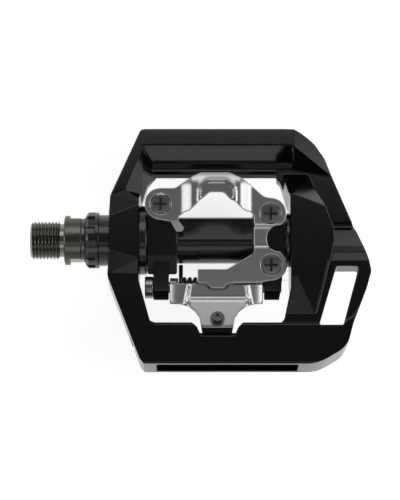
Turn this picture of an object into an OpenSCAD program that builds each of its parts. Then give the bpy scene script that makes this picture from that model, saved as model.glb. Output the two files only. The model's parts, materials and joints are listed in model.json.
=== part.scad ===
// Single-sided clipless platform pedal, right-hand side, with a pop-up cage.
// Frame: origin on the spindle axis at the crank shoulder face, +X outboard,
// +Y towards the front of the pedal, +Z up out of the binding.

/* [Spindle] */
// Major diameter of the crank thread
thread_d = 14.288; // [14.2:0.01:14.3]
// Length of the crank thread
thread_l = 11.8; // [11:0.1:12.5]
// Diameter of the wrench collar
collar_d = 18.2; // [17.6:0.1:18.6]
// Distance across the wrench flats
flats = 15; // [14.8:0.1:15.2]
// Hex socket in the thread end, across flats
end_socket = 8; // [6:1:8]

/* [Bearings] */
// Number of balls in the inner row
inner_n = 15; // [12:1:16]
// Number of balls in the outer row
outer_n = 12; // [9:1:12]
// Ball diameter
ball_d = 2.38; // [2.2:0.01:2.4]

/* [Cage] */
// Tilt of the popped-up cage about the spindle
cage_tilt = 15; // [12:0.5:16]
// Thickness of the front and rear bars
bar_t = 17; // [16.5:0.1:17.4]
// Height of the outer hub above the spindle axis
hub_h = 11.2; // [10.8:0.1:11.6]
// Length of the end recess in each bar
recess_l = 51; // [46:1:52]

/* [Binding] */
// Height of the plate seats above the spindle axis
seat_z = 9; // [8.8:0.1:9.2]
// Thickness of the claw steel
plate_t = 2.3; // [2:0.1:2.4]
// Height of the cleat lip above the plate seats
lip_h = 5.4; // [5:0.1:6]
// Diameter of the claw screw heads
screw_d = 7.1; // [6.8:0.1:7.2]
// Distance of the claw pivot behind the spindle
pivot_y = 17.2; // [17:0.1:17.4]
// Height of the claw pivot above the spindle
pivot_z = 4; // [3.8:0.1:4.2]
// Diameter of the claw pivot pin
pin_d = 4.2; // [4:0.1:4.2]

/* [Springs] */
// Wire diameter of the claw springs
wire_d = 1.55; // [1.4:0.05:1.6]
// Mean radius of the claw spring coils
coil_r = 3.1; // [3.05:0.05:3.15]
// Turns of each claw spring
coil_n = 3; // [2:1:3]
// Pitch of the claw spring coils
coil_p = 2.0; // [1.9:0.05:2.1]

/* [Hidden] */
$fn = 96;

steel_c = [0.42, 0.42, 0.43];
dark_c = [0.16, 0.155, 0.15];
black_c = [0.05, 0.05, 0.052];
claw_c = [0.5, 0.5, 0.51];
resin_c = [0.07, 0.07, 0.075];

// ball rows
bx1 = 20;
bx2 = 61.5;
rp1 = 6.6;
rp2 = 5.2;
br = ball_d / 2;
// pivot of the rear claw
py = -pivot_y;
pz = pivot_z;
// the tension bolt's place and lean
tb = [55.9, -28.3, 13.65];
tb_lean = -18;
ht = bar_t / 2;
screw_at = [[35.3, 13.2], [75.2, 9.7], [75.4, -8.9]];

// ---------- helpers ----------
function unit(v) = v / norm(v);
// an arc that rounds corner b of the path a-b-c by radius r
function corner(a, b, c, r) =
    let (u = unit(a - b), w = unit(c - b), half = acos(max(-1, min(1, u * w))) / 2)
    (r <= 0 || half > 89.5) ? [b] :
    let (d = r / tan(half), m = b + unit(u + w) * (r / sin(half)),
        s = b + u * d - m, e = b + w * d - m,
        a0 = atan2(s[1], s[0]), a1 = atan2(e[1], e[0]),
        sw = a1 - a0 > 180 ? a1 - a0 - 360 : (a1 - a0 < -180 ? a1 - a0 + 360 : a1 - a0),
        n = max(2, ceil(abs(sw) / 9)))
    [for (i = [0:n]) m + r * [cos(a0 + sw * i / n), sin(a0 + sw * i / n)]];
// a polygon of [x, y, r] points with every corner rounded by its own r
function rounded(p) = let (n = len(p)) [for (i = [0:n - 1])
    each corner([p[(i + n - 1) % n][0], p[(i + n - 1) % n][1]], [p[i][0], p[i][1]],
        [p[(i + 1) % n][0], p[(i + 1) % n][1]], p[i][2])];

// a turned shape about the spindle axis, from [x, r] points
module turned(p) rotate([0, 90, 0]) rotate_extrude() polygon([for (q = p) [q[1], q[0]]]);
module rod_x(x0, x1, r) translate([x0, 0, 0]) rotate([0, 90, 0]) cylinder(h = x1 - x0, r = r);
module ring_x(x0, x1, r1, r0) difference() {
    rod_x(x0, x1, r1);
    rod_x(x0 - 1, x1 + 1, r0);
}
// a polygon in Y and Z, drawn from x0 to x1
module slab_x(x0, x1, p) translate([x0, 0, 0]) rotate([90, 0, 90]) linear_extrude(x1 - x0) polygon(p);
module slab_z(z0, z1, p) translate([0, 0, z0]) linear_extrude(z1 - z0) polygon(p);
// the cage is drawn level and then tilted
module tilted() rotate([-cage_tilt, 0, 0]) children();
// ball races: a ring groove about the spindle
module race(x, rp) translate([x, 0, 0]) rotate([0, 90, 0]) rotate_extrude() translate([rp, 0]) circle(r = br + 0.05);

// a round wire along a path that stays square to the X axis
function wire_ring(p, t, r, n) = let (e1 = unit(cross(t, [1, 0, 0])), e2 = unit(cross(t, e1)))
    [for (k = [0:n - 1]) p + r * (cos(360 * k / n) * e1 + sin(360 * k / n) * e2)];
module wire(path, r, n = 8) {
    m = len(path);
    tan_at = [for (i = [0:m - 1]) unit(path[min(i + 1, m - 1)] - path[max(i - 1, 0)])];
    pts = [for (i = [0:m - 1]) each wire_ring(path[i], tan_at[i], r, n)];
    side = [for (i = [0:m - 2], k = [0:n - 1]) [i * n + k, i * n + (k + 1) % n, (i + 1) * n + (k + 1) % n, (i + 1) * n + k]];
    polyhedron(points = pts, faces = concat([[for (k = [n - 1:-1:0]) k]], side, [[for (k = [0:n - 1]) (m - 1) * n + k]]), convexity = 10);
}

// ---------- spindle unit ----------
module axle() color(dark_c) difference() {
    turned([[-0.6 - thread_l, 0], [-0.6 - thread_l, 6.1], [0.4 - thread_l, thread_d / 2], [-0.6, thread_d / 2],
        [-0.6, 6.1], [0, 6.1], [0, collar_d / 2 - 0.4], [0.4, collar_d / 2], [6.2, collar_d / 2], [6.2, 8.3], [7.7, 8.3], [7.7, 6.6],
        [12, 6.6], [12, 6], [24, 6], [29, 4.6], [56, 4.6], [56, 3.5], [70, 3.5], [70, 0]]);
    // wrench flats, one to the rear and one to the front
    for (s = [0, 180]) rotate([s + 82.5, 0, 0]) translate([2.1, -12, flats / 2]) cube([5.2, 24, 6]);
    translate([-14, 0, 0]) rotate([0, 90, 0]) cylinder(h = 9, r = end_socket / sqrt(3), $fn = 6);
    race(bx1, rp1);
}
module lock_sleeve() color(resin_c) difference() {
    union() {
        turned([[7.85, 0], [7.85, 9.2], [8.9, 10.3], [12.7, 10.3], [12.7, 9.4], [30.3, 9.4], [30.3, 7.3], [41, 7.3], [41, 0]]);
    }
    rod_x(7, 45, 6.9);
    rod_x(8.6, 11, 8.4);
    rod_x(18, 29, 8.5);
    for (i = [0:11]) rotate([i * 30 + 8, 0, 0]) translate([7, -1.15, 9.35]) cube([4.3, 2.3, 4]);
}
module dust_seal() color("#181818") turned([[8.7, 6.65], [8.7, 8.35], [10.9, 8.35], [10.9, 7.4], [9.6, 7.2], [9.6, 6.65]]);
module inner_cup() color(steel_c) difference() {
    ring_x(18.05, 24, 8.5, 7.15);
    race(bx1, rp1);
}
module balls(x, rp, n) for (i = [0:n - 1]) rotate([360 / n * i, 0, 0]) translate([x, 0, rp]) sphere(d = ball_d);
module inner_balls() color("silver") balls(bx1, rp1, inner_n);
module outer_cup() color(steel_c) difference() {
    ring_x(58.5, 64.5, 7.35, 5.7);
    race(bx2, rp2);
}
module outer_balls() color("silver") balls(bx2, rp2, outer_n);
module cone_nut() color(steel_c) difference() {
    ring_x(58, 64.6, 4.7, 3.54);
    race(bx2, rp2);
}
module key_washer() color(steel_c) ring_x(64.7, 65.5, 5.2, 3.54);
module lock_nut() color(steel_c) difference() {
    translate([65.6, 0, 0]) rotate([0, 90, 0]) cylinder(h = 3.2, r = 5.8, $fn = 6);
    rod_x(60, 75, 3.54);
}

// ---------- binding ----------
module boss_z(p, r, z0, z1) translate([p[0], p[1], z0]) cylinder(h = z1 - z0, r = r);
module binding_body() color(black_c) difference() {
    union() {
        // barrel, cut to a flat that leans down to the front
        difference() {
            rod_x(40, 70, 8.5);
            slab_x(41.9, 69.2, [[0.4, 8.5], [0.4, 12], [12, 12], [12, 1], [8.6, 3.6]]);
        }
        // inner block with the foot of the left ear
        intersection() {
            slab_z(-8.4, seat_z, rounded([[30.4, 16.6, 1.5], [40.2, 16.6, 1.5], [40.2, 9, 0], [41.2, 6, 0], [41.2, -12.4, 0.8], [30.4, -12.4, 0.8]]));
            slab_x(30, 42, [[17, -1], [17, seat_z], [-5.5, seat_z], [-12.6, 5.4], [-12.6, -3.5], [-8, -8.5], [6, -8.5], [9.5, -5]]);
        }
        // lugs for the claw pivot
        slab_x(32.6, 38.2, rounded([[-6, 8, 0], [-18.3, 8, 0.8], [-21.8, 4.8, 0.8], [-21.8, 0, 2], [-18, -2.6, 2], [-8, -6, 0]]));
        difference() {
            slab_x(73, 79.5, rounded([[-4, 8, 0], [-18.3, 8, 0.8], [-21.8, 4.8, 0.8], [-21.8, 0, 2], [-18, -2.6, 2], [-6, -6, 0]]));
            slab_z(-10, 10, [[79.5, -14], [82, -14], [82, -24], [78.2, -24]]);
        }
        // outer end, round about the spindle, with the feet of the two right ears
        rod_x(69, 80.8, 8.9);
        boss_z(screw_at[1], 4.9, -2, seat_z);
        boss_z(screw_at[2], 4.9, -5, seat_z);
        slab_z(-6, seat_z, rounded([[69, -13, 0.8], [75.4, -13.8, 0.8], [80.2, -9, 2], [80.2, 0, 0], [76, 0, 0], [76, 9, 0], [75, 14.4, 1.5], [70.4, 12, 1], [69, 8, 0.5]]));
    }
    // room for the arm's joggle and the cleat
    slab_z(seat_z - 1.4, 20, [[73.9, 4.4], [82, 5.6], [82, -4.8], [73.9, -3.4]]);
    rod_x(30, 70.5, 7.35);
    rod_x(70, 82, 6.61);
    rod_x(70, 73.02, 7.35);
    for (p = screw_at) boss_z(p, 2.55, 2, 12);
    slab_z(seat_z - 1.3, seat_z + 2, [[38.2, 7.6], [41.9, 7.6], [44.4, 4.4], [43.4, 3], [40.6, 3]]);
    translate([28, py, pz]) rotate([0, 90, 0]) cylinder(h = 56, r = pin_d / 2 + 0.03);
}

// outline of the front claw
function claw_front() = rounded([[35.3, 19, 0], [40.6, 19, 3], [46.8, 23.2, 3], [49.9, 24.6, 3], [60.4, 24.6, 4], [65.4, 22.2, 4], [72.6, 16, 3],
    [75.2, 15.4, 0], [75.2, 6, 0], [69.2, 6, 0], [69.2, 8.8, 0], [68, 10.3, 1], [66.3, 10.6, 1], [64.4, 11.9, 1], [62.6, 13.9, 1], [60.4, 15, 1],
    [58.2, 17.4, 2.5], [53, 17.4, 2.5], [51.2, 15.7, 1], [49.4, 14.4, 1], [48.6, 13.4, 1], [45.8, 10.8, 1], [44, 10.2, 1], [42, 8.7, 0.5],
    [42, 7.4, 0.8], [40.5, 6.4, 0.8], [35.3, 7.4, 0]]);
function claw_side() = rounded([[69.2, 12, 0], [75.2, 12, 0], [75.2, 4, 0], [78, 3, 0], [78, -3, 0], [75.4, -5, 0], [75.4, -14.6, 0], [70, -15.5, 2], [59.8, -15.6, 0.4],
    [58.4, -17.4, 0.4], [53.6, -17.4, 0.4], [52, -15.6, 0.4], [48.7, -15.6, 0.6], [48.7, -10.4, 0.8], [59.5, -10.4, 3], [69.2, -4.5, 2]]);
module countersink(p, z) translate([p[0], p[1], z]) {
    translate([0, 0, -5]) cylinder(h = 10, r = 2.7);
    translate([0, 0, -1.5]) cylinder(h = 1.51, r1 = 2.7, r2 = screw_d / 2 + 0.05);
    cylinder(h = 3, r = screw_d / 2 + 0.05);
}
module front_claw() color(claw_c) difference() {
    union() {
        // ears, arm and rear strip
        slab_z(seat_z, seat_z + plate_t, claw_side());
        translate([0, 0, seat_z]) linear_extrude(plate_t) difference() {
            union() {
                translate(screw_at[0]) circle(r = 5.8);
                translate(screw_at[1]) circle(r = 5.7);
                translate(screw_at[2]) circle(r = 5.7);
                intersection() {
                    polygon(claw_front());
                    union() {
                        translate([30, 0]) square([12.5, 30]);
                        translate([68.4, 0]) square([12, 30]);
                    }
                }
            }
        }
        // the raised hoop and its lip
        intersection() {
            slab_z(0, 30, claw_front());
            slab_x(42, 69, [[0, seat_z], [30, seat_z - 3.4], [30, seat_z + plate_t - 1], [17, seat_z + plate_t + 0.8], [8, seat_z + plate_t + 0.8], [0, seat_z + plate_t]]);
        }
        intersection() {
            slab_z(0, 30, claw_front());
            difference() {
                slab_z(seat_z + 1, seat_z + lip_h, rounded([[48.1, 10, 0], [48.1, 22.6, 4.5], [63.1, 22.6, 4.5], [63.1, 10, 0]]));
                slab_z(seat_z - 1, seat_z + lip_h - 1.6, rounded([[50, 8, 0], [50, 20.8, 3], [61.2, 20.8, 3], [61.2, 8, 0]]));
            }
        }
        // locating tab, bent down into the body
        slab_z(seat_z - 1.2, seat_z + 0.6, [[38.4, 7.4], [41.8, 7.4], [44, 4.4], [43.2, 3.2], [40.8, 3.2]]);
    }
    translate([78.5, 0.6, seat_z - 1]) cylinder(h = 6, r = 4.7);
    slab_z(seat_z - 2, seat_z + 2 * plate_t, [[78.4, 4], [90, 9], [90, -9], [78.4, -3]]);
    for (p = screw_at) countersink(p, seat_z + plate_t - 0.4);
}
module claw_screws() color(steel_c) for (p = screw_at) translate([p[0], p[1], seat_z + plate_t]) difference() {
    union() {
        translate([0, 0, -0.4]) cylinder(h = 0.5, r = screw_d / 2);
        translate([0, 0, -1.88]) cylinder(h = 1.48, r1 = 2.62, r2 = screw_d / 2);
        translate([0, 0, -9]) cylinder(h = 8, r = 2.5);
    }
    for (a = [0, 90]) rotate([0, 0, a]) translate([-2.35, -0.38, -0.9]) cube([4.7, 0.76, 2]);
}

function claw_rear() = rounded([[38.6, -15.6, 0.4], [72.4, -15.6, 0.4], [72.4, -23.1, 0.6], [69.6, -23.2, 0], [66.8, -23.8, 0], [64, -25.6, 0], [62.3, -28, 0], [61.6, -31.2, 0], [61.2, -33.7, 0.5],
    [50.4, -33.7, 0.5], [50, -31.2, 0], [49.4, -28, 0], [47.7, -25.6, 0], [45, -23.8, 0], [42.2, -23.2, 0], [38.6, -23.1, 0.6]]);
module rear_claw() color(claw_c) difference() {
    union() {
        // wings
        intersection() {
            slab_z(seat_z - 0.6, seat_z + 1.6, claw_rear());
            union() {
                translate([36, -40, 0]) cube([10, 40, 30]);
                translate([65.6, -40, 0]) cube([10, 40, 30]);
            }
        }
        // pressed middle with its bent tail
        intersection() {
            slab_z(0, 30, claw_rear());
            slab_x(43.6, 67.8, [[-15.6, 10.2], [-20.4, 10.3], [-21.3, 11.3], [-31, 14.5], [-32.3, 14.2], [-33.8, 10.4], [-32, 9.8], [-30.9, 12.2], [-21.3, 9], [-20.4, 8.2], [-15.6, 8]]);
        }
        // knuckles on the pivot pin
        for (x = [38.6, 70.2]) slab_x(x, x + 2.2, rounded([[py + 3.4, 7, 0.8], [py + 2.1, seat_z - 0.4, 0.6], [py + 1, seat_z - 0.4, 0], [py - 5.6, seat_z + 1, 0], [py - 3.6, pz - 2, 2], [py - 1.4, pz - 3.6, 2], [py + 3.4, pz - 3.6, 2.2]]));
    }
    // clearance under the locating tongue and the strip
    slab_z(seat_z - 0.35, seat_z + plate_t + 1.5, [[48.2, -15.3], [48.2, -15.9], [51.5, -15.9], [53.3, -17.75], [58.8, -17.75], [60.4, -15.9], [72.6, -15.9], [74, -15.3]]);
    translate([36, py, pz]) rotate([0, 90, 0]) cylinder(h = 40, r = pin_d / 2 + 0.05);
    translate(tb) rotate([tb_lean, 0, 0]) cylinder(h = 20, r = 1.75, center = true);
}
module pivot_pin() color(steel_c) translate([0, py, pz]) difference() {
    union() {
        rod_x(29.5, 32.5, 4);
        rod_x(32, 79.3, pin_d / 2);
    }
    ring_x(40.9, 41.7, 5, 1.6);
}
module pin_clip() color(steel_c) translate([0, py, pz]) difference() {
    ring_x(40.95, 41.65, 3.4, 1.65);
    translate([40, -1.1, -6]) cube([3, 2.2, 6]);
}
// a torsion spring on the pivot, wound from x0 towards x1
module claw_spring(x0, s) {
    b = -121;
    lead = [for (d = [8.7, 6.2, 3.6, 1.2]) [x0, py + coil_r * cos(b) + d * sin(b), pz + coil_r * sin(b) - d * cos(b)]];
    turns = coil_n + 6 / 360;
    steps = ceil(turns * 18);
    coil = [for (i = [0:steps]) let (a = b + i * turns * 360 / steps)
        [x0 + s * coil_p * turns * i / steps, py + coil_r * cos(a), pz + coil_r * sin(a)]];
    e = b + turns * 360;
    x1 = x0 + s * coil_p * turns;
    tail = [for (d = [1.2, 5, 10.2]) [x1, py + coil_r * cos(e) - d * sin(e), pz + coil_r * sin(e) + d * cos(e)]];
    color("#141414") wire(concat(lead, coil, tail), wire_d / 2);
}
module spring_left() claw_spring(48.6, -1);
module spring_right() claw_spring(61.9, 1);
module on_bolt() translate(tb) rotate([tb_lean, 0, 0]) children();
module tension_bolt() color(steel_c) on_bolt() difference() {
    union() {
        translate([0, 0, 0.95]) cylinder(h = 1.7, r = 1.75);
        translate([0, 0, -8.4]) cylinder(h = 9.4, r = 1.5);
    }
    translate([0, 0, 1.5]) cylinder(h = 2, r = 1.1, $fn = 6);
}
module bolt_washer() color(steel_c) on_bolt() difference() {
    translate([0, 0, 0.2]) cylinder(h = 0.72, r = 2.6);
    cylinder(h = 5, r = 1.6, center = true);
}
module tension_plate() color(dark_c) on_bolt() translate([0, 0, -6.1]) linear_extrude(2.2) difference() {
    polygon(rounded([[-4.8, -1.95, 0.6], [4.8, -1.95, 0.6], [4.8, 2.4, 0], [7.4, 2.8, 0.4], [7.4, 5.4, 0.5], [-7.4, 5.4, 0.5], [-7.4, 2.8, 0.4], [-4.8, 2.4, 0]]));
    circle(r = 1.53);
}

// ---------- cage, drawn level ----------
function cage_outline() = rounded([[27.9, 40.6, 2.2], [16.7, 14.8, 5], [16.3, 0, 40], [16, -15.4, 6], [27.9, -46, 0], [29.4, -47.8, 0],
    [92, -47.8, 14], [102.6, -41.5, 9], [104.9, -32.6, 20], [110.2, -19, 6], [111.9, -13, 3], [111.2, -9, 5], [107.6, 3.4, 6], [98.3, 26.4, 12], [94.4, 35.4, 14], [85, 40.6, 14]]);
function cage_window() = rounded([[33, 26, 3], [30.2, 22.4, 4], [27.4, 13.4, 4], [27.4, -17, 3], [31.6, -32, 1], [32.6, -32.5, 1],
    [78.6, -32.5, 1], [80, -31, 1], [82.4, -20, 3], [82.4, 14, 4], [79.2, 23.4, 4], [76.1, 26, 3]]);
bar_front = [[33.95, ht], [39.9, ht], [40.6, ht - 0.7], [40.6, 1.4 - ht], [39.2, -ht], [27, -ht], [26, 1 - ht], [26.8, -4.8], [27.8, -4.3], [28.2, -3], [30.7, -2]];
bar_rear = [[-33.4, ht], [-32.5, ht - 0.9], [-33.2, 4.8], [-34.4, 4.3], [-35, 3], [-37.9, 2], [-41.2, -ht], [-47.1, -ht], [-47.8, 0.7 - ht], [-47.8, ht - 0.7], [-47.1, ht]];
// the web that runs low at the front and climbs to the high end frame
web_side = [[31, -ht], [31, -3], [7.6, -3], [7.2, -3.9], [6, -3.9], [4.6, -2.6], [1, 0.2], [-3, 3.6], [-6, 5.3], [-9, 6], [-36, 6], [-36, -2], [-15, -2], [-11, -2.7], [-6, -5.6], [-3, -7.6], [1, -ht]];
// the convex solid that a list of corners spans
module solid_of(p) hull() polyhedron(points = p, faces = [for (i = [0:len(p) - 3]) [i, i + 1, i + 2]]);
module cage() color(black_c) tilted() difference() {
    union() {
        intersection() {
            slab_z(-30, 30, cage_outline());
            difference() {
                union() {
                    slab_x(10, 84, bar_front);
                    slab_x(10, 112, bar_rear);
                    // thicker wall round the notch for the claw's tail
                    slab_z(-ht, 5.5, [[42, -40], [44.6, -33.4], [67, -33.4], [69.6, -40]]);
                    // front left arm with its wide inner slope
                    solid_of([[29.6, 36.2, ht], [28.8, 33.8, ht], [22.2, 17.4, ht], [10, 12, ht], [10, 36.2, ht], [31.6, 29.4, -4], [28, 15, -4.6],
                        [33.6, 27.4, -ht], [28.6, 13, -ht], [10, 12, -ht], [10, 36, -ht]]);
                    // rear left arm, its slope underneath
                    solid_of([[10, -12, ht], [28.6, -14, ht], [33.4, -33, ht], [10, -36, ht], [10, -12, -ht], [22.2, -17.4, -ht],
                        [26.8, -38, -ht], [10, -40, -ht], [30.8, -33, 3.4], [28.2, -15.4, 4.2]]);
                    // inner hub
                    solid_of([for (s = [1, -1], p = [[16.2, 14.8, ht - 0.2], [16.2, -14.8, ht - 0.2], [16.6, 6.2, 11.9], [16.6, -5.8, 11.9],
                        [22.6, 16.8, ht - 0.1], [22.2, -14.6, ht - 0.1], [28.6, 10.8, 12.7], [28.6, -9.6, 12.7], [28.6, 15.2, ht - 0.3], [28.6, -15.2, ht - 0.3]])
                        [p[0], s * p[1], s * p[2]]]);
                    // outer hub, front half and rear half
                    solid_of([[83.7, 14.75, hub_h], [95.2, 10, hub_h], [98.1, 1.9, hub_h], [98.3, -2.7, hub_h], [82, -4, hub_h], [82, 14.4, hub_h],
                        [80.4, 26, -3], [89.4, 26, -3], [80, 26, -ht], [90, 26, -ht], [83.7, 16, -hub_h], [96, 10.7, -hub_h], [98.3, 2.7, -hub_h], [98.1, -1.9, -hub_h], [82, -2, -hub_h], [82, 15.6, -hub_h]]);
                    solid_of([[84.6, -15.9, hub_h], [96, -10.7, hub_h], [98.3, -2.7, hub_h], [98.1, 1.9, hub_h], [82, 2, hub_h], [82, -15.4, hub_h],
                        [80.4, -29.6, 6], [91.2, -29.6, 6], [80, -30, 2], [90, -30, 2], [83.7, -14.75, -hub_h], [95.2, -10, -hub_h], [98.1, -1.9, -hub_h], [98.3, 2.7, -hub_h], [82, 4, -hub_h], [82, -14.4, -hub_h]]);
                    // front outer corner, whose rim falls to the low web
                    hull() {
                        slab_x(83.9, 84, [[33.95, ht], [46, ht], [46, -ht], [27, -ht], [28.2, -3], [30.7, -2]]);
                        slab_x(98.2, 98.4, [[25.7, -3], [29, -3], [29, -ht], [24, -ht]]);
                    }
                    slab_x(78, 113, web_side);
                    slab_x(78, 113, [[26, -ht], [26, -3], [36, -3], [36, -ht]]);
                    // the rear bar's round shoulder over the end slot
                    slab_z(4, ht, rounded([[96, -33.4, 0], [101, -32.9, 6], [105.3, -30, 6], [108.5, -24.5, 4], [114, -24, 0], [114, -42, 0], [96, -42, 0]]));
                }
                slab_z(-30, 30, cage_window());
            }
        }
    }
    // end slot
    slab_z(-20, 9.2, rounded([[99.2, -11.2, 0.8], [107.4, -11.2, 0.8], [101.2, -33.6, 0.5], [92.5, -33.6, 0.5]]));
    // notch that clears the claw's tail
    slab_z(-5.6, 12, [[45, -31], [48.6, -34.4], [50, -37.6], [62, -37.6], [63.4, -34.4], [66.6, -31]]);
    // shallow recesses in the end faces of both bars
    slab_x(59.4 - recess_l / 2, 59.4 + recess_l / 2, [[-44.6, -5.6], [-44.6, 5.6], [-50, 5.6], [-50, -5.6]]);
    slab_x(55.9 - recess_l / 2, 55.9 + recess_l / 2, [[37.6, -5.6], [37.6, 5.6], [50, 5.6], [50, -5.6]]);
    // hub bores
    rod_x(10, 30, 10.7);
    rod_x(80, 93, 8);
}
module hub_bush_inner() color(resin_c) tilted() difference() {
    union() {
        rod_x(20.8, 28, 10.7);
        rod_x(27.4, 30.15, 12.65);
    }
    rod_x(18, 32, 9.44);
}
module hub_bush_outer() color(resin_c) tilted() difference() {
    union() {
        rod_x(82, 92.4, 8);
        rod_x(81.05, 82.4, 9.9);
    }
    rod_x(80, 95, 6.64);
}
module outer_pivot() color(steel_c) difference() {
    union() {
        rod_x(70.6, 73, 7.3);
        rod_x(72.5, 92.2, 6.6);
    }
    translate([70, 0, 0]) rotate([0, 90, 0]) cylinder(h = 5, r = 4.6, $fn = 6);
}
module cage_spring() {
    path = [for (i = [0:54]) let (a = i * 20) [17.2 + 2.9 * i / 54, 10.07 * cos(a), 10.07 * sin(a)]];
    color("silver") wire(path, 0.42);
}

axle();
lock_sleeve();
dust_seal();
inner_cup();
inner_balls();
outer_cup();
outer_balls();
cone_nut();
key_washer();
lock_nut();
binding_body();
front_claw();
claw_screws();
rear_claw();
pivot_pin();
pin_clip();
spring_left();
spring_right();
tension_bolt();
bolt_washer();
tension_plate();
cage();
hub_bush_inner();
hub_bush_outer();
outer_pivot();
cage_spring();
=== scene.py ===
import json
import math
import bmesh
import bpy
import numpy as np
from mathutils import Matrix, Vector
from mathutils.geometry import delaunay_2d_cdt


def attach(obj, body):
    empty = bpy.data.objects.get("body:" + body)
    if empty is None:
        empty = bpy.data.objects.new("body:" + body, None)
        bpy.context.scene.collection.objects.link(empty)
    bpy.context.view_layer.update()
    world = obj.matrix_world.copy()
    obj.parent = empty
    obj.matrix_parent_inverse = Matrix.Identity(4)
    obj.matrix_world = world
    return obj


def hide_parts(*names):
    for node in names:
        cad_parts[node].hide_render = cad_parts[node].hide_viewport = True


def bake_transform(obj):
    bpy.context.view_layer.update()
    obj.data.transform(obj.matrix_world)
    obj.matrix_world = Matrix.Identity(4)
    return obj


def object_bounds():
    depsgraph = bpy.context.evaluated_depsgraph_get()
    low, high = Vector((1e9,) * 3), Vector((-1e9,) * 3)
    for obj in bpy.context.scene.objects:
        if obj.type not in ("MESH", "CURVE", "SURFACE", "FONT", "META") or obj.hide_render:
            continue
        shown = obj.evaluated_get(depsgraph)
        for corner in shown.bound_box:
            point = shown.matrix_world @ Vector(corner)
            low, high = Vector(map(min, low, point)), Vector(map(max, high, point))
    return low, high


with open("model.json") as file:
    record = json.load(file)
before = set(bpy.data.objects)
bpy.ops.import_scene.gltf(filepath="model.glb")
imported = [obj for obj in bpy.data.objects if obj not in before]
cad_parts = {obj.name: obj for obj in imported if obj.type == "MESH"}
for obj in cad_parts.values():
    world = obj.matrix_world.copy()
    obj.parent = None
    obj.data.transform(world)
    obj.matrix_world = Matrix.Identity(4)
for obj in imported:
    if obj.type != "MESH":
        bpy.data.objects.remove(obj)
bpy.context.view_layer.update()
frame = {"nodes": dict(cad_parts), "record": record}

nodes, record = frame["nodes"], frame["record"]
slots = {s["node"]: s["material_slot"] for s in record["subparts"]}
node_body = {n: b for b, ns in record["behaviour"]["bodies"].items() for n in ns}
MM = 0.001
scene = bpy.context.scene

# ------------------------------------------------------------------ materials


def node_of(tree, kind, **sockets):
    n = tree.nodes.new(kind)
    for k, v in sockets.items():
        n.inputs[k.replace("_", " ")].default_value = v
    return n


def finish_material(name, base, metallic, rough, grain=1800.0, grain_amount=0.06, bump=0.15, cloud=0.12, spec=0.5,
                    coat=0.0, coat_rough=0.1, edge_wear_and_highlight=None, edge_mask_from=0.53, streak=None, aniso=0.0, bump_size=0.00002):
    """A finish with a fine grain in its roughness and bump, a slow drift of tone, and lighter edges that are partly
    rubbed wear and partly a painted highlight.
    """
    m = bpy.data.materials.new(name)
    m.use_nodes = True
    t = m.node_tree
    b = t.nodes["Principled BSDF"]
    b.inputs["Metallic"].default_value = metallic
    b.inputs["Specular IOR Level"].default_value = spec
    b.inputs["Coat Weight"].default_value = coat
    b.inputs["Coat Roughness"].default_value = coat_rough
    b.inputs["Anisotropic"].default_value = aniso
    co = t.nodes.new("ShaderNodeTexCoord")
    src = co.outputs["Object"]
    if streak:
        mp = t.nodes.new("ShaderNodeMapping")
        mp.inputs["Scale"].default_value = streak
        t.links.new(src, mp.inputs["Vector"])
        src_grain = mp.outputs["Vector"]
    else:
        src_grain = src
    fine = node_of(t, "ShaderNodeTexNoise", Scale=grain, Detail=3.0, Roughness=0.6)
    t.links.new(src_grain, fine.inputs["Vector"])
    slow = node_of(t, "ShaderNodeTexNoise", Scale=70.0, Detail=4.0, Roughness=0.55)
    t.links.new(src, slow.inputs["Vector"])
    # colour: slow drift, then the lighter edges, partly rubbed wear and partly painted highlight
    mixc = t.nodes.new("ShaderNodeMix")
    mixc.data_type = "RGBA"
    lo = [c * (1 - cloud) for c in base]
    hi = [min(1, c * (1 + cloud)) for c in base]
    mixc.inputs["A"].default_value = (*lo, 1)
    mixc.inputs["B"].default_value = (*hi, 1)
    t.links.new(slow.outputs["Fac"], mixc.inputs["Factor"])
    colour = mixc.outputs["Result"]
    # painted highlight: edges picked out by pointiness are lightened, standing partly for rubbed wear and partly for
    # light catching the edges
    if edge_wear_and_highlight:
        geo = t.nodes.new("ShaderNodeNewGeometry")
        ramp = node_of(t, "ShaderNodeMapRange")
        ramp.inputs["From Min"].default_value = edge_mask_from
        ramp.inputs["From Max"].default_value = edge_mask_from + 0.09
        ramp.inputs["To Max"].default_value = 1.0
        t.links.new(geo.outputs["Pointiness"], ramp.inputs["Value"])
        mul = t.nodes.new("ShaderNodeMath")
        mul.operation = "MULTIPLY"
        t.links.new(ramp.outputs["Result"], mul.inputs[0])
        t.links.new(fine.outputs["Fac"], mul.inputs[1])
        mixw = t.nodes.new("ShaderNodeMix")
        mixw.data_type = "RGBA"
        mixw.inputs["B"].default_value = (*edge_wear_and_highlight, 1)
        t.links.new(colour, mixw.inputs["A"])
        t.links.new(mul.outputs["Value"], mixw.inputs["Factor"])
        colour = mixw.outputs["Result"]
    t.links.new(colour, b.inputs["Base Color"])
    rg = node_of(t, "ShaderNodeMapRange")
    rg.inputs["From Min"].default_value = 0.25
    rg.inputs["From Max"].default_value = 0.75
    rg.inputs["To Min"].default_value = max(0.02, rough - grain_amount)
    rg.inputs["To Max"].default_value = rough + grain_amount
    t.links.new(fine.outputs["Fac"], rg.inputs["Value"])
    t.links.new(rg.outputs["Result"], b.inputs["Roughness"])
    bp = t.nodes.new("ShaderNodeBump")
    bp.inputs["Strength"].default_value = bump
    bp.inputs["Distance"].default_value = bump_size
    t.links.new(fine.outputs["Fac"], bp.inputs["Height"])
    t.links.new(bp.outputs["Normal"], b.inputs["Normal"])
    return m


# the two black paints get lighter edges: partly rubbed wear, partly a painted edge highlight
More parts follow.
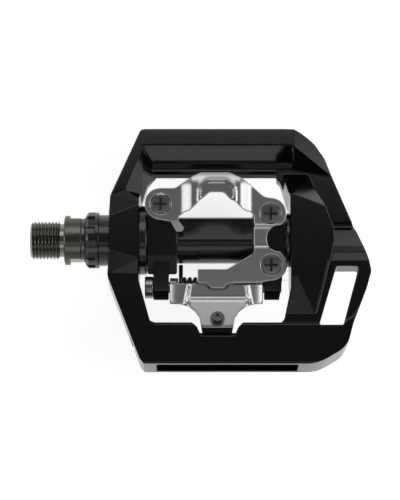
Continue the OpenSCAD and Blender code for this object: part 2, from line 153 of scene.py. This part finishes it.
M = {
    "cage_alloy": finish_material("black_paint_cage", (0.0018, 0.0018, 0.0020), 0.0, 0.17, grain=1500, grain_amount=0.03, bump=0.035,
                                  cloud=0.2, spec=0.26, edge_wear_and_highlight=(0.02, 0.02, 0.021), edge_mask_from=0.58),
    "body_alloy": finish_material("black_paint_body", (0.0038, 0.0038, 0.0042), 0.0, 0.21, grain=2200, grain_amount=0.04, bump=0.04,
                                  cloud=0.2, spec=0.34, edge_wear_and_highlight=(0.05, 0.05, 0.052), edge_mask_from=0.57),
    "claw_steel": finish_material("satin_steel", (0.37, 0.37, 0.378), 1.0, 0.30, grain=2600, grain_amount=0.025, bump=0.02, cloud=0.05),
    "screw_steel": finish_material("dark_zinc_steel", (0.21, 0.21, 0.218), 1.0, 0.30, grain=3000, grain_amount=0.04, bump=0.04, cloud=0.1),
    "axle_steel": finish_material("turned_steel", (0.088, 0.085, 0.077), 1.0, 0.27, grain=1500, grain_amount=0.015, bump=0.006,
                                  cloud=0.10, streak=(2.0, 0.6, 0.6), aniso=0.0),
    "bearing_steel": finish_material("bearing_steel", (0.62, 0.62, 0.63), 1.0, 0.12, grain=2000, grain_amount=0.03, bump=0.03, cloud=0.04),
    "resin": finish_material("black_resin", (0.0045, 0.0045, 0.005), 0.0, 0.20, grain=900, grain_amount=0.05, bump=0.03, cloud=0.2, spec=0.5),
    "seal_rubber": finish_material("black_rubber", (0.012, 0.012, 0.012), 0.0, 0.62, grain=2500, grain_amount=0.08, bump=0.3, cloud=0.2, spec=0.3),
    "spring_wire": finish_material("oxide_wire", (0.030, 0.030, 0.031), 1.0, 0.30, grain=2500, grain_amount=0.08, bump=0.1, cloud=0.2),
    "thread": finish_material("thread_steel", (0.20, 0.195, 0.18), 1.0, 0.20, grain=1500, grain_amount=0.03, bump=0.015, cloud=0.12),
    "oxide": finish_material("dark_oxide_steel", (0.11, 0.11, 0.113), 1.0, 0.27, grain=2500, grain_amount=0.05, bump=0.06, cloud=0.15),
    # painted shade: a darker steel for the inside of the screw recesses, where shade falls
    "recess": finish_material("dark_recess", (0.035, 0.035, 0.036), 1.0, 0.45, grain=2500, grain_amount=0.08, bump=0.2, cloud=0.2),
    "spring_bright": finish_material("bright_wire", (0.45, 0.45, 0.45), 1.0, 0.22, grain=2500, grain_amount=0.06, bump=0.08, cloud=0.1),
}

# ------------------------------------------------------------------ mesh tools


def add_object(name, mesh, slot, body=None):
    """A piece with its finish, attached to its body when one is given."""
    o = bpy.data.objects.new(name, mesh)
    scene.collection.objects.link(o)
    o.data.materials.clear()
    o.data.materials.append(M[slot])
    if body:
        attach(o, body)
    return o


def shade(o, angle=25.0):
    """Smooth shading with creases kept at every edge over the angle."""
    me = o.data
    bm = bmesh.new()
    bm.from_mesh(me)
    for f in bm.faces:
        f.smooth = True
    lim = math.radians(angle)
    for e in bm.edges:
        e.smooth = not (len(e.link_faces) != 2 or e.calc_face_angle(0.0) > lim)
    bm.to_mesh(me)
    bm.free()


def bevel(o, width, segments=2, angle=28.0, clamp=False):
    m = o.modifiers.new("bevel", "BEVEL")
    m.width = width * MM
    m.segments = segments
    m.limit_method = "ANGLE"
    m.angle_limit = math.radians(angle)
    m.use_clamp_overlap = clamp
    m.harden_normals = True
    m.miter_outer = "MITER_SHARP"
    return m


def clean_copy(node, planar=0.4, short=0.02, cut=None):
    """The CAD node's mesh, welded and with flat faces merged."""
    bm = bmesh.new()
    bm.from_mesh(nodes[node].data)
    bmesh.ops.remove_doubles(bm, verts=bm.verts, dist=0.002 * MM)
    bmesh.ops.dissolve_degenerate(bm, edges=bm.edges, dist=short * MM)
    if cut:
        geom = list(bm.verts) + list(bm.edges) + list(bm.faces)
        bmesh.ops.bisect_plane(bm, geom=geom, plane_co=cut[0], plane_no=cut[1], clear_inner=True)
    bmesh.ops.dissolve_limit(bm, angle_limit=math.radians(planar), verts=bm.verts, edges=bm.edges, use_dissolve_boundaries=False)
    bmesh.ops.recalc_face_normals(bm, faces=bm.faces)
    me = bpy.data.meshes.new(node + "_skin")
    bm.to_mesh(me)
    bm.free()
    return me


def detail(node, width, segments=2, angle=28.0, crease=25.0, planar=0.4, name=None, slot=None, cut=None, short=0.02):
    """A finer skin over a CAD node: same shape, with rounded edges."""
    slot = slot or slots[node]
    o = add_object(name or node + "_skin", clean_copy(node, planar=planar, cut=cut, short=short), slot, node_body[node])
    shade(o, crease)
    if width:
        bevel(o, width, segments, angle)
    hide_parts(node)
    return o


def mesh_from(name, verts, faces, weld=True):
    me = bpy.data.meshes.new(name)
    me.from_pydata([tuple(v) for v in verts], [], faces)
    if weld:
        bm = bmesh.new()
        bm.from_mesh(me)
        bmesh.ops.remove_doubles(bm, verts=bm.verts, dist=0.0005 * MM)
        bmesh.ops.recalc_face_normals(bm, faces=bm.faces)
        bm.to_mesh(me)
        bm.free()
    me.validate()
    me.update()
    return me


def lathe_rows(rows, closed_first=True, closed_last=True):
    """Faces over rings of equal length; the first and last may be fans to a point."""
    verts, faces = [], []
    n = len(rows[0])
    for r in rows:
        verts.extend(r)
    for i in range(len(rows) - 1):
        for k in range(n):
            a, b = i * n + k, i * n + (k + 1) % n
            faces.append([a, b, b + n, a + n])
    if closed_first:
        faces.append(list(range(n))[::-1])
    if closed_last:
        faces.append([(len(rows) - 1) * n + k for k in range(n)])
    return verts, faces


def corner(a, b, c, r):
    a, b, c = (Vector(p[:2]) for p in (a, b, c))
    u, w = (a - b).normalized(), (c - b).normalized()
    half = math.acos(max(-1, min(1, u.dot(w)))) / 2
    if r <= 0 or half > math.radians(89.5):
        return [tuple(b)]
    d = r / math.tan(half)
    m = b + (u + w).normalized() * (r / math.sin(half))
    s, e = b + u * d - m, b + w * d - m
    a0, a1 = math.atan2(s.y, s.x), math.atan2(e.y, e.x)
    sw = (a1 - a0 + math.pi) % (2 * math.pi) - math.pi
    n = max(3, math.ceil(abs(sw) / math.radians(7)))
    return [(m.x + r * math.cos(a0 + sw * i / n), m.y + r * math.sin(a0 + sw * i / n)) for i in range(n + 1)]


def rounded(p):
    n = len(p)
    out = []
    for i in range(n):
        out += corner(p[i - 1], p[i], p[(i + 1) % n], p[i][2] if len(p[i]) > 2 else 0)
    return out


def sd_poly(px, py, poly):
    """Signed distance to a polygon, negative inside."""
    d = np.full(px.shape, 1e9)
    inside = np.zeros(px.shape, bool)
    n = len(poly)
    for i in range(n):
        ax, ay = poly[i - 1][:2]
        bx, by = poly[i][:2]
        ex, ey = bx - ax, by - ay
        wx, wy = px - ax, py - ay
        t = np.clip((wx * ex + wy * ey) / max(ex * ex + ey * ey, 1e-12), 0, 1)
        d = np.minimum(d, (wx - ex * t) ** 2 + (wy - ey * t) ** 2)
        if abs(ey) > 1e-12:
            cross = (ay > py) != (by > py)
            inside ^= cross & (px < ex * (py - ay) / ey + ax)
    d = np.sqrt(d)
    return np.where(inside, -d, d)


def sd_circle(px, py, c, r):
    return np.hypot(px - c[0], py - c[1]) - r


def contours(field, xs, ys, level):
    """Closed loops where a sampled field crosses a level."""
    f = field - level
    f = np.where(np.abs(f) < 1e-9, 1e-9, f)
    pos = f > 0
    segs = {}

    def pt(i, j, k, l):
        t = f[j, i] / (f[j, i] - f[l, k])
        return (xs[i] + (xs[k] - xs[i]) * t, ys[j] + (ys[l] - ys[j]) * t)

    ny, nx = f.shape
    code = pos[:-1, :-1] * 1 + pos[:-1, 1:] * 2 + pos[1:, 1:] * 4 + pos[1:, :-1] * 8
    js, is_ = np.nonzero((code > 0) & (code < 15))
    pts = {}
    links = {}
    table = {1: [(3, 0)], 2: [(0, 1)], 3: [(3, 1)], 4: [(1, 2)], 5: [(3, 2), (1, 0)], 6: [(0, 2)], 7: [(3, 2)],
             8: [(2, 3)], 9: [(2, 0)], 10: [(0, 3), (2, 1)], 11: [(2, 1)], 12: [(1, 3)], 13: [(1, 0)], 14: [(0, 3)]}
    for j, i in zip(js, is_):
        keys = [("h", i, j), ("v", i + 1, j), ("h", i, j + 1), ("v", i, j)]
        ends = [((i, j, i + 1, j)), ((i + 1, j, i + 1, j + 1)), ((i, j + 1, i + 1, j + 1)), ((i, j, i, j + 1))]
        for a, b in table[int(code[j, i])]:
            for s in (a, b):
                if keys[s] not in pts:
                    pts[keys[s]] = pt(*ends[s])
            links[keys[a]] = keys[b]
    loops = []
    while links:
        start = next(iter(links))
        loop = [start]
        k = links.pop(start)
        while k != start and k in links:
            loop.append(k)
            k = links.pop(k)
        loops.append([pts[q] for q in loop])
    return loops


def simplify(loop, tol):
    """Drops points that lie on the line between their neighbours."""
    def rdp(p):
        if len(p) < 3:
            return p
        a, b = np.array(p[0]), np.array(p[-1])
        q = np.array(p)
        ab = b - a
        length = np.hypot(*ab)
        if length < 1e-9:
            d = np.hypot(*(q - a).T)
        else:
            d = np.abs(ab[0] * (q[:, 1] - a[1]) - ab[1] * (q[:, 0] - a[0])) / length
        i = int(np.argmax(d))
        if d[i] <= tol:
            return [p[0], p[-1]]
        return rdp(p[:i + 1])[:-1] + rdp(p[i:])
    n = len(loop)
    h = n // 2
    out = rdp(loop[:h + 1])[:-1] + rdp(loop[h:] + [loop[0]])[:-1]
    return out


def resample(loop, step):
    out = []
    n = len(loop)
    for i in range(n):
        a, b = np.array(loop[i]), np.array(loop[(i + 1) % n])
        k = max(1, int(np.ceil(np.hypot(*(b - a)) / step)))
        out += [tuple(a + (b - a) * j / k) for j in range(k)]
    return out


def pressed(name, field, box, top, bottom, edge=0.35, grid=0.7, fine=0.12, marks=(), step=0.9):
    """A pressed plate: a flat region with rounded rims, lifted by a height function, with a lower face and walls.
    field is the signed distance to the rim in mm, top and bottom give heights in mm."""
    xs = np.arange(box[0], box[1] + fine, fine)
    ys = np.arange(box[2], box[3] + fine, fine)
    gx, gy = np.meshgrid(xs, ys)
    f = field(gx, gy)
    rims = [0.0, edge * 0.15, edge * 0.5, edge]
    pts, edges = [], []
    rim_loops = []
    for lv in rims:
        for lp in contours(f, xs, ys, -lv):
            if len(lp) < 8:
                continue
            lp = resample(simplify(lp, 0.012), step)
            base = len(pts)
            pts += lp
            edges += [(base + i, base + (i + 1) % len(lp)) for i in range(len(lp))]
            if lv == 0.0:
                rim_loops.append((base, len(lp)))
    for mk, closed in marks:
        base = len(pts)
        pts += list(mk)
        edges += [(base + i, base + (i + 1) % len(mk)) for i in range(len(mk) - (0 if closed else 1))]
    ix = np.arange(box[0], box[1], grid)
    iy = np.arange(box[2], box[3], grid)
    hx, hy = np.meshgrid(ix, iy)
    hx[1::2] += grid / 2
    fd = field(hx, hy)
    ok = fd < -(edge + 0.25 * grid)
    pts += list(zip(hx[ok].tolist(), hy[ok].tolist()))
    co, ed, fa, ov, oe, of_ = delaunay_2d_cdt([Vector(p) for p in pts], edges, [], 0, 1e-5)
    P = np.array([tuple(c) for c in co])
    tri = [t for t in fa]
    cx = np.array([[P[t][:, 0].mean(), P[t][:, 1].mean()] for t in tri])
    keep = field(cx[:, 0], cx[:, 1]) < 0
    tri = [t for t, k in zip(tri, keep) if k]
    d = np.clip(-field(P[:, 0], P[:, 1]), 0, edge)
    drop = edge - np.sqrt(np.maximum(edge ** 2 - (edge - d) ** 2, 0))
    zt = top(P[:, 0], P[:, 1]) - drop
    zb = bottom(P[:, 0], P[:, 1]) + drop
    n = len(P)
    verts = [(p[0] * MM, p[1] * MM, z * MM) for p, z in zip(P, zt)] + [(p[0] * MM, p[1] * MM, z * MM) for p, z in zip(P, zb)]
    faces = [list(t) for t in tri] + [[v + n for v in t][::-1] for t in tri]
    count = {}
    for t in tri:
        for i in range(len(t)):
            e = (t[i], t[(i + 1) % len(t)])
            count[e] = count.get(e, 0) + 1
    for (a, b) in count:
        if (b, a) not in count:
            faces.append([b, a, a + n, b + n])
    return mesh_from(name, verts, faces)


def smooth(x, a, b):
    t = np.clip((x - a) / (b - a), 0, 1)
    return t * t * (3 - 2 * t)


def sweep(name, path, radius, sides=14):
    """A round wire along points in mm."""
    p = np.array(path, float)
    m = len(p)
    tan = np.array([p[min(i + 1, m - 1)] - p[max(i - 1, 0)] for i in range(m)])
    tan /= np.linalg.norm(tan, axis=1)[:, None]
    rows = []
    for i in range(m):
        e1 = np.cross(tan[i], [1, 0, 0])
        e1 /= np.linalg.norm(e1)
        e2 = np.cross(tan[i], e1)
        rows.append([tuple((p[i] + radius * (math.cos(a) * e1 + math.sin(a) * e2)) * MM) for a in np.linspace(0, 2 * math.pi, sides, endpoint=False)])
    tip0 = [tuple((np.array(v) / MM * 0.6 + p[0] * 0.4 - tan[0] * radius * 0.25) * MM) for v in rows[0]]
    tip1 = [tuple((np.array(v) / MM * 0.6 + p[-1] * 0.4 + tan[-1] * radius * 0.25) * MM) for v in rows[-1]]
    v, f = lathe_rows([tip0] + rows + [tip1])
    return mesh_from(name, v, f)


# ------------------------------------------------------------------ skins over the CAD nodes


def cast_skin(node, voxel, turns=0.0, smoothing=4, keep=1.0, crease=28.0):
    """A cast skin over a CAD node: remeshed finely in its own level frame, so that every edge comes out softly rounded."""
    me = clean_copy(node)
    lay = Matrix.Rotation(math.radians(turns), 4, "X")
    me.transform(lay)
    o = add_object(node + "_skin", me, slots[node], node_body[node])
    m = o.modifiers.new("remesh", "REMESH")
    m.mode = "VOXEL"
    m.voxel_size = voxel * MM
    m.adaptivity = 0.0
    if smoothing:
        m = o.modifiers.new("round", "SMOOTH")
        m.factor = 0.5
        m.iterations = smoothing
    m = o.modifiers.new("merge", "DECIMATE")
    m.decimate_type = "DISSOLVE"
    m.angle_limit = math.radians(keep)
    dg = bpy.context.evaluated_depsgraph_get()
    flat = bpy.data.meshes.new_from_object(o.evaluated_get(dg))
    flat.transform(lay.inverted())
    o.modifiers.clear()
    o.data = flat
    o.data.materials.clear()
    o.data.materials.append(M[slots[node]])
    shade(o, crease)
    m = o.modifiers.new("flat", "WEIGHTED_NORMAL")
    m.mode = "FACE_AREA"
    m.weight = 90
    m.keep_sharp = True
    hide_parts(node)
    return o


cast_skin("cage", 0.28, turns=15.0, smoothing=3, keep=1.2)
detail("binding_body", 0.3, 2, angle=30, crease=24, planar=0.6)
detail("lock_sleeve", 0.22, 2, angle=30, crease=24, planar=0.6)
detail("dust_seal", 0.08, 2)
detail("hub_bush_inner", 0.35, 3)
detail("hub_bush_outer", 0.35, 3)
detail("outer_pivot", 0.25, 2)
detail("pivot_pin", 0.35, 3)
detail("pin_clip", 0.1, 2)
for n, wd in (("bolt_washer", 0.14), ("tension_bolt", 0.22)):
    detail(n, wd, 2).data.materials[0] = M["oxide"]
detail("tension_plate", 0.25, 2)
detail("lock_nut", 0.2, 2)
for n in ("inner_cup", "inner_balls", "outer_cup", "outer_balls", "cone_nut", "key_washer"):
    o = nodes[n]
    o.data.materials.clear()
    o.data.materials.append(M[slots[n]])

# ------------------------------------------------------------------ spindle: real thread, then the turned collar
N = 72
PITCH = 1.27


def hexagon(x, af, n=N):
    return [(x * MM, (af / 2 / math.cos((a % (math.pi / 3)) - math.pi / 6)) * math.cos(a) * MM,
             (af / 2 / math.cos((a % (math.pi / 3)) - math.pi / 6)) * math.sin(a) * MM) for a in [2 * math.pi * k / n for k in range(n)]]


def ring(x, r, n=N):
    return [(x * MM, r * math.cos(2 * math.pi * k / n) * MM, r * math.sin(2 * math.pi * k / n) * MM) for k in range(n)]


rows = [hexagon(-5.6, 7.9), hexagon(-5.6, 8.0), hexagon(-12.0, 8.0), hexagon(-12.4, 8.5), ring(-12.4, 5.6), ring(-12.38, 5.9)]
x = -12.36
while x < -1.5:
    row = []
    for k in range(N):
        a = 2 * math.pi * k / N
        ph = (x / PITCH - k / N) % 1.0
        t = 1 - abs(2 * ph - 1)
        r = 6.18 + 0.964 * min(1.0, max(0.0, (t - 0.06) / 0.84))
        r = min(r, 6.05 + (x + 12.36) * 1.35)
        r = min(r, max(6.1, 7.144 - max(0.0, x + 2.1) * 2.2))
        row.append((x * MM, r * math.cos(a) * MM, r * math.sin(a) * MM))
    rows.append(row)
    x += PITCH / 14
rows += [ring(-1.46, 6.1), ring(-0.5, 6.1), ring(0.05, 6.12)]
v, f = lathe_rows(rows, closed_first=True, closed_last=True)
thread = add_object("axle_thread", mesh_from("axle_thread", v, f), "axle_steel", node_body["axle"])
shade(thread, 38)
thread.data.materials[0] = M["thread"]
shank = add_object("axle_collar", clean_copy("axle", planar=0.6, cut=((-0.0003, 0, 0), (1, 0, 0))), "axle_steel", node_body["axle"])
bm = bmesh.new()
bm.from_mesh(shank.data)
bmesh.ops.holes_fill(bm, edges=[e for e in bm.edges if e.is_boundary], sides=0)
bm.to_mesh(shank.data)
bm.free()
shade(shank, 25)
bevel(shank, 0.22, 3, 30)
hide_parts("axle")
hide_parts("axle")

# ------------------------------------------------------------------ front claw
SEAT, PLATE = 9.0, 2.3
EARS = [((35.3, 13.2), 5.8), ((75.2, 9.7), 5.7), ((75.4, -8.9), 5.7)]
HOOP = rounded([(35.3, 19, 0), (40.6, 19, 3), (46.8, 23.2, 3), (49.9, 24.6, 3), (60.4, 24.6, 4), (65.4, 22.2, 4), (72.6, 16, 3),
                (75.2, 15.4, 0), (75.2, 6, 0), (69.2, 6, 0), (69.2, 8.8, 0), (68, 10.3, 1), (66.3, 10.6, 1), (64.4, 11.9, 1), (62.6, 13.9, 1),
                (60.4, 15, 1), (58.2, 17.4, 2.5), (53, 17.4, 2.5), (51.2, 15.7, 1), (49.4, 14.4, 1), (48.6, 13.4, 1), (45.8, 10.8, 1),
                (44, 10.2, 1), (42, 8.7, 0.5), (42, 7.4, 0.8), (40.5, 6.4, 0.8), (35.3, 7.4, 0)])
SIDE = rounded([(69.2, 12, 0), (75.2, 12, 0), (75.2, 4, 0), (78, 3, 0), (78, -3, 0), (75.4, -5, 0), (75.4, -14.6, 0), (70, -15.5, 2), (59.8, -15.6, 0.4),
                (58.4, -17.4, 0.4), (53.6, -17.4, 0.4), (52, -15.6, 0.4), (48.7, -15.6, 0.6), (48.7, -10.4, 0.8), (59.5, -10.4, 3), (69.2, -4.5, 2)])
POCKET = rounded([(48.9, 4, 0), (48.9, 22.0, 4.2), (62.5, 22.0, 4.2), (62.5, 4, 0)])


def front_field(x, y):
    d = np.minimum(sd_poly(x, y, HOOP), sd_poly(x, y, SIDE))
    for c, r in EARS:
        d = np.minimum(d, sd_circle(x, y, c, r))
    for c, r in EARS:
        d = np.maximum(d, -sd_circle(x, y, c, 3.72))
    d = np.maximum(d, -sd_circle(x, y, (78.5, 0.6), 4.7))
    return d


def front_top(x, y):
    rise = 2.2 * smooth(x, 42.0, 47.4) * (1 - smooth(x, 63.4, 69.0)) * smooth(y, 5.5, 8.0)
    z = SEAT + PLATE + rise
    # the rim of the hoop rolls down to the front and outwards
    roll = np.clip(y - 19.6, 0, None)
    z = z - np.where(y > 0, 0.075 * roll ** 2, 0)
    # pocket for the cleat's nose, with a raised bead round it
    dp = sd_poly(x, y, POCKET)
    on = smooth(y, 9.6, 10.6)
    bead = 0.45 * np.exp(-((dp + 0.1) / 0.42) ** 2) * on
    sink = 1.35 * (1 - smooth(dp, -1.1, -0.35)) * on
    # joggled arm
    arm = 1.0 * smooth(y, -3.3, -2.1) * (1 - smooth(y, 4.3, 6.0)) * smooth(x, 67.5, 69.5)
    return z + bead - sink - arm


def front_bottom(x, y):
    rise = 2.0 * smooth(x, 42.0, 47.4) * (1 - smooth(x, 63.4, 69.0)) * smooth(y, 5.5, 8.0)
    roll = np.clip(y - 19.6, 0, None)
    return np.full(np.shape(x), SEAT + 0.02) + np.minimum(rise, 1.2) - 0.07 * roll ** 2 * (y > 0)


front = add_object("front_claw_plate", pressed("front_claw_plate", front_field, (28, 83, -19, 27), front_top, front_bottom, edge=0.3, grid=0.55), "claw_steel", node_body["front_claw"])
shade(front, 34)
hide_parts("front_claw")

TAB = rounded([(38.6, 7.2, 0.3), (41.9, 7.2, 0.3), (43.9, 4.5, 0.3), (43.1, 3.2, 0.3), (40.9, 3.2, 0.3)])
tab = add_object("front_claw_tab", pressed("front_claw_tab", lambda x, y: sd_poly(x, y, TAB), (36, 46, 1, 9), lambda x, y: 9.55 + 0.16 * (y - 3.2),
                                           lambda x, y: 8.6 + 0 * x, edge=0.2, grid=0.5, fine=0.06, step=0.4), "claw_steel", node_body["front_claw"])
shade(tab, 30)
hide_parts("front_claw")

# ------------------------------------------------------------------ crosshead screws


def cross(a, w, r):
    return rounded([(w, a, r), (w, w, r), (a, w, r), (a, -w, r), (w, -w, r), (w, -a, r), (-w, -a, r), (-w, -w, r), (-a, -w, r), (-a, w, r), (-w, w, r), (-w, a, r)])


for i, (c, r) in enumerate(EARS):
    up, low = cross(2.35, 0.42, 0.08), cross(1.75, 0.26, 0.05)

    def screw_top(x, y, c=c, up=up):
        lx, ly = x - c[0], y - c[1]
        d = sd_poly(lx, ly, up)
        rr = np.hypot(lx, ly)
        z = SEAT + PLATE - 0.02 + 0.16 * (1 - (rr / 3.55) ** 2)
        return z - np.clip(-d / 0.15, 0, 1) * (0.7 + 0.9 * np.clip(1 - rr / 2.4, 0, 1))

    mk = [([(p[0] + c[0], p[1] + c[1]) for p in up], True), ([(p[0] + c[0], p[1] + c[1]) for p in low], True)]
    s = add_object("claw_screw_%d" % i, pressed("claw_screw_%d" % i, lambda x, y, c=c: sd_circle(x, y, c, 3.5), (c[0] - 4.5, c[0] + 4.5, c[1] - 4.5, c[1] + 4.5),
                   screw_top, lambda x, y: np.full(np.shape(x), 9.1), edge=0.2, grid=0.35, fine=0.06, marks=mk, step=0.3), "screw_steel", node_body["claw_screws"])
    shade(s, 32)
    # painted shade: faces deep in the cross recess get the darker steel, standing for the shade inside the recess
    s.data.materials.append(M["recess"])
    for f in s.data.polygons:
        if f.center.z < (SEAT + PLATE - 0.3) * MM:
            f.material_index = 1
    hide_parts("claw_screws")
    rows = [ring(0, 2.5), ring(6.6, 2.5), ring(7.0, 2.1)]
    v, f = lathe_rows([[((c[0]) * MM + p[2], c[1] * MM + p[1], (9.3 * MM) - p[0]) for p in rw] for rw in rows])
    sh = add_object("claw_screw_shank_%d" % i, mesh_from("claw_screw_shank_%d" % i, v, f), "screw_steel", node_body["claw_screws"])
    shade(sh, 30)
    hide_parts("claw_screws")

# ------------------------------------------------------------------ rear claw
REAR = rounded([(38.6, -15.6, 0.4), (72.4, -15.6, 0.4), (72.4, -23.1, 0.6), (69.6, -23.2, 0), (66.8, -23.8, 2), (64, -25.6, 3), (62.3, -28, 3), (61.6, -31.2, 1),
                (61.2, -33.7, 0.5), (50.4, -33.7, 0.5), (50, -31.2, 1), (49.4, -28, 3), (47.7, -25.6, 3), (45, -23.8, 2), (42.2, -23.2, 0), (38.6, -23.1, 0.6)])
BOLT = (55.9, -28.3)
TONGUE = [(48.2, -15.2), (48.2, -15.95), (51.4, -15.95), (53.25, -17.8), (58.85, -17.8), (60.4, -15.95), (72.6, -15.95), (74, -15.2)]


def rear_field(x, y):
    d = sd_poly(x, y, REAR)
    d = np.maximum(d, -sd_poly(x, y, TONGUE))
    return np.maximum(d, -sd_circle(x, y, (BOLT[0], BOLT[1]), 1.75))


def rear_top(x, y):
    # the middle stands above the wings; slanted ramps join them
    off = (y + 16.0) * 0.26
    left = smooth(x, 44.6 + off * 0.5, 46.7)
    right = 1 - smooth(x, 65.6, 67.6 - off * 0.5)
    mid = np.minimum(left, right)
    u = -y
    z_mid = np.interp(u, [15.6, 20.2, 20.9, 21.6, 31.0, 31.6, 32.2, 32.8, 33.8], [10.25, 10.25, 10.45, 11.4, 14.48, 14.4, 13.7, 12.6, 10.6])
    edge = np.minimum(np.clip(x - 38.6, 0, 5), np.clip(72.4 - x, 0, 5))
    z_wing = 10.75 - 0.055 * (5 - edge) ** 2 * 0.8
    ridge = 0.75 * np.exp(-((x - (45.6 + 0.18 * (y + 16))) / 0.55) ** 2) + 0.75 * np.exp(-((x - (66.6 - 0.18 * (y + 16))) / 0.55) ** 2)
    ridge = ridge * (1 - smooth(u, 22.6, 24.4))
    return z_wing * (1 - mid) + z_mid * mid + ridge


def rear_bottom(x, y):
    return rear_top(x, y) - 1.75


rear = add_object("rear_claw_plate", pressed("rear_claw_plate", rear_field, (36, 75, -36, -13), rear_top, rear_bottom, edge=0.28, grid=0.5, fine=0.1), "claw_steel", node_body["rear_claw"])
shade(rear, 40)
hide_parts("rear_claw")
PY, PZ = -17.2, 4.0
KNUCKLE = rounded([(PY + 3.4, 7, 0.8), (PY + 2.1, 8.6, 0.6), (PY + 1, 8.6, 0), (PY - 5.6, 10, 0), (PY - 3.6, PZ - 2, 2), (PY - 1.4, PZ - 3.6, 2), (PY + 3.4, PZ - 3.6, 2.2)])
for i, x0 in enumerate((38.7, 70.1)):
    me = pressed("rear_claw_knuckle_%d" % i, lambda x, y: np.maximum(sd_poly(x, y, KNUCKLE), -sd_circle(x, y, (PY, PZ), 2.15)), (-24, -12, -2, 12),
                 lambda x, y: 2.2 + 0 * x, lambda x, y: 0 * x, edge=0.25, grid=0.8, fine=0.08, step=0.6)
    for vv in me.vertices:
        a, b, c = vv.co
        vv.co = (x0 * MM + c, a, b)
    k = add_object("rear_claw_knuckle_%d" % i, me, "claw_steel", node_body["rear_claw"])
    shade(k, 32)
    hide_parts("rear_claw")

# ------------------------------------------------------------------ springs


def claw_spring(name, x0, s):
    cr, b, turns = 3.1, math.radians(-121), 3 + 6 / 360
    pts = [(x0, PY + cr * math.cos(b) + d * math.sin(b), PZ + cr * math.sin(b) - d * math.cos(b)) for d in (8.7, 6.2, 3.6, 1.2)]
    n = 160
    for i in range(n + 1):
        a = b + 2 * math.pi * turns * i / n
        pts.append((x0 + s * 2.0 * turns * i / n, PY + cr * math.cos(a), PZ + cr * math.sin(a)))
    e = b + 2 * math.pi * turns
    x1 = x0 + s * 2.0 * turns
    pts += [(x1, PY + cr * math.cos(e) - d * math.sin(e), PZ + cr * math.sin(e) + d * math.cos(e)) for d in (1.2, 5, 10.2)]
    o = add_object(name + "_wire", sweep(name + "_wire", pts, 0.775), "spring_wire")
    shade(o, 50)
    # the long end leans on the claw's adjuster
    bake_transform(o)
    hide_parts(name)


claw_spring("spring_left", 48.6, -1)
claw_spring("spring_right", 61.9, 1)
pts = [(17.2 + 2.9 * i / 216, 10.07 * math.cos(math.radians(i * 5)), 10.07 * math.sin(math.radians(i * 5))) for i in range(217)]
o = add_object("cage_spring_wire", sweep("cage_spring_wire", pts, 0.42, 10), "spring_bright", node_body["cage_spring"])
shade(o, 50)
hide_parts("cage_spring")

# ------------------------------------------------------------------ studio
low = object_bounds()[0]
me = bpy.data.meshes.new("floor")
me.from_pydata([(-3, -3, 0), (3, -3, 0), (3, 3, 0), (-3, 3, 0)], [], [[0, 1, 2, 3]])
floor = bpy.data.objects.new("floor", me)
scene.collection.objects.link(floor)
floor.location = (0.05, 0, low.z - 0.030)
fm = bpy.data.materials.new("pale_floor")
fm.use_nodes = True
fb = fm.node_tree.nodes["Principled BSDF"]
fb.inputs["Base Color"].default_value = (0.85, 0.85, 0.85, 1)
fb.inputs["Roughness"].default_value = 0.9
fb.inputs["Specular IOR Level"].default_value = 0.1
fb.inputs["Emission Color"].default_value = (1, 1, 1, 1)
fb.inputs["Emission Strength"].default_value = 0.46
floor.data.materials.append(fm)


def softbox(name, loc, target, size, power, size_y=None):
    l = bpy.data.lights.new(name, "AREA")
    l.shape = "RECTANGLE"
    l.size = size
    l.size_y = size_y or size
    l.energy = power
    o = bpy.data.objects.new(name, l)
    o.location = loc
    o.rotation_euler = (Vector(target) - Vector(loc)).to_track_quat("-Z", "Y").to_euler()
    scene.collection.objects.link(o)
    return o


C = (0.05, 0.0, 0.0)
softbox("front_box", (0.05, 0.71, 0.628), C, 1.0, 2.8, 0.47)
softbox("left_box", (-0.66, 0.02, 0.26), C, 0.26, 2.0, 0.9)
softbox("right_box", (0.78, 0.10, 0.36), C, 0.4, 2.2, 0.8)
softbox("right_high", (0.66, -0.06, 0.60), C, 0.5, 0.75, 0.25)
softbox("rear_box", (0.08, -0.52, 0.62), C, 0.8, 1.0, 0.30)
softbox("top_strip", (0.05, -0.24, 0.98), C, 0.9, 0.34, 0.09)

w = bpy.data.worlds.new("studio")
scene.world = w
w.use_nodes = True
t = w.node_tree
bg = t.nodes["Background"]
tc = t.nodes.new("ShaderNodeTexCoord")
sep = t.nodes.new("ShaderNodeSeparateXYZ")
t.links.new(tc.outputs["Generated"], sep.inputs[0])
mr = t.nodes.new("ShaderNodeMapRange")
mr.interpolation_type = "SMOOTHSTEP"
mr.inputs["From Min"].default_value = 0.12
mr.inputs["From Max"].default_value = 0.75
mr.inputs["To Min"].default_value = 0.7
mr.inputs["To Max"].default_value = 0.15
t.links.new(sep.outputs["Z"], mr.inputs["Value"])
t.links.new(mr.outputs["Result"], bg.inputs["Strength"])
bg.inputs["Color"].default_value = (1, 1, 1, 1)
scene.view_settings.view_transform = "Standard"

cam = bpy.data.cameras.new("camera")
cam.type = "PERSP"
cam.lens = 150.0
cam.sensor_width = 36.0
cam.clip_start = 0.01
cam.clip_end = 20
co = bpy.data.objects.new("camera", cam)
co.location = (0.0496, -0.0035, 0.7654)
co.rotation_euler = (0, 0, 0)
scene.collection.objects.link(co)
scene.camera = co
